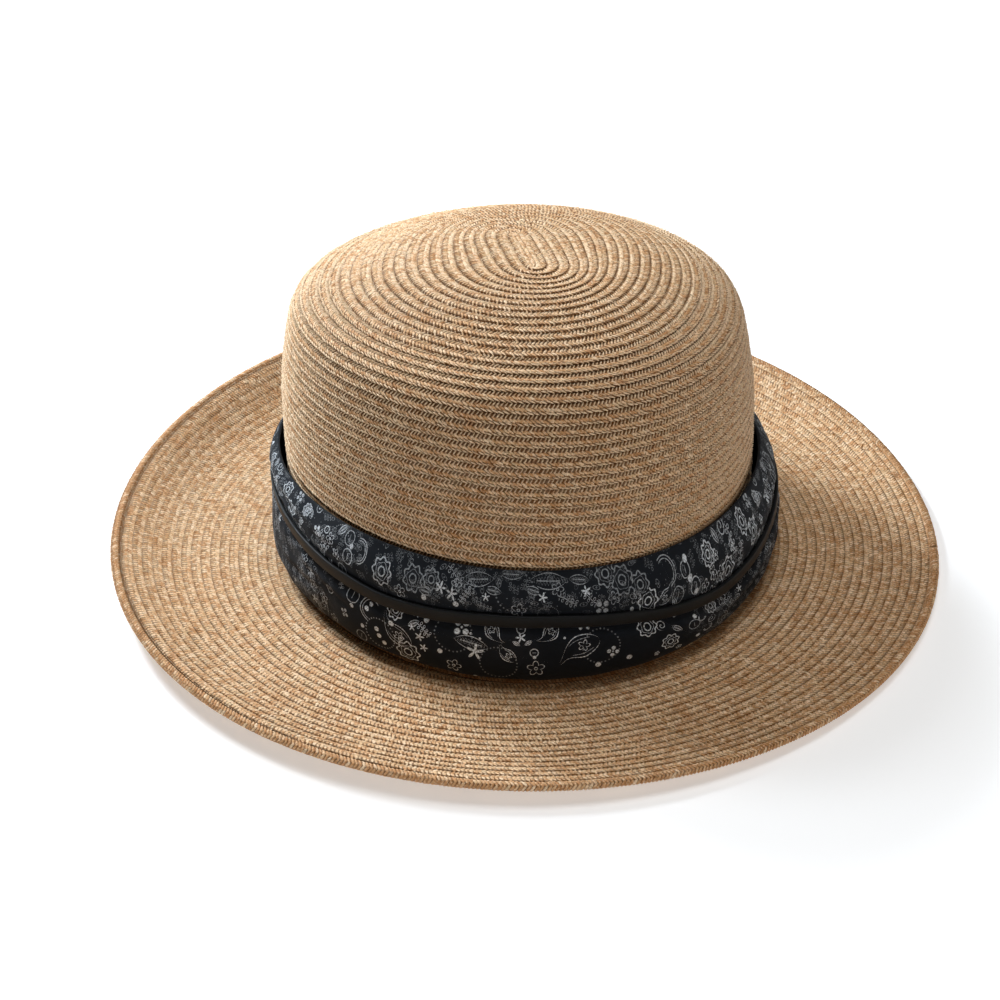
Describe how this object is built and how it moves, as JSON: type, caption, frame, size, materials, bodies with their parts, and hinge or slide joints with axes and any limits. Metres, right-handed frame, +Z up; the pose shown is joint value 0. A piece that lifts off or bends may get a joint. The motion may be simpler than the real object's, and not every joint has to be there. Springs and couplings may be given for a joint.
{
  "type": "wide-brim sun hat",
  "caption": "Wide-brim straw sun hat: oval sewn-braid crown with a gently domed top, softly curled brim, printed cotton band and a flat leather lace.",
  "frame": {"origin": "centre of the hat's bounding box, on the floor that the flat part of the brim rests on", "axes": "+Z up through the crown; the oval's long axis runs along Y, with the front of the hat towards -Y"},
  "size_m": [0.3144, 0.3458, 0.1199],
  "materials": {
    "straw": "matte sewn paper-straw braid with mixed light and dark strands",
    "band_cotton": "matte black cotton with a traditional white bandana print",
    "lace_leather": "smooth black leather with a soft sheen"
  },
  "bodies": {
    "root": {"crown": "straw", "brim": "straw", "brim_edge": "straw", "band": "band_cotton", "strap": "lace_leather"}
  },
  "joints": []
}
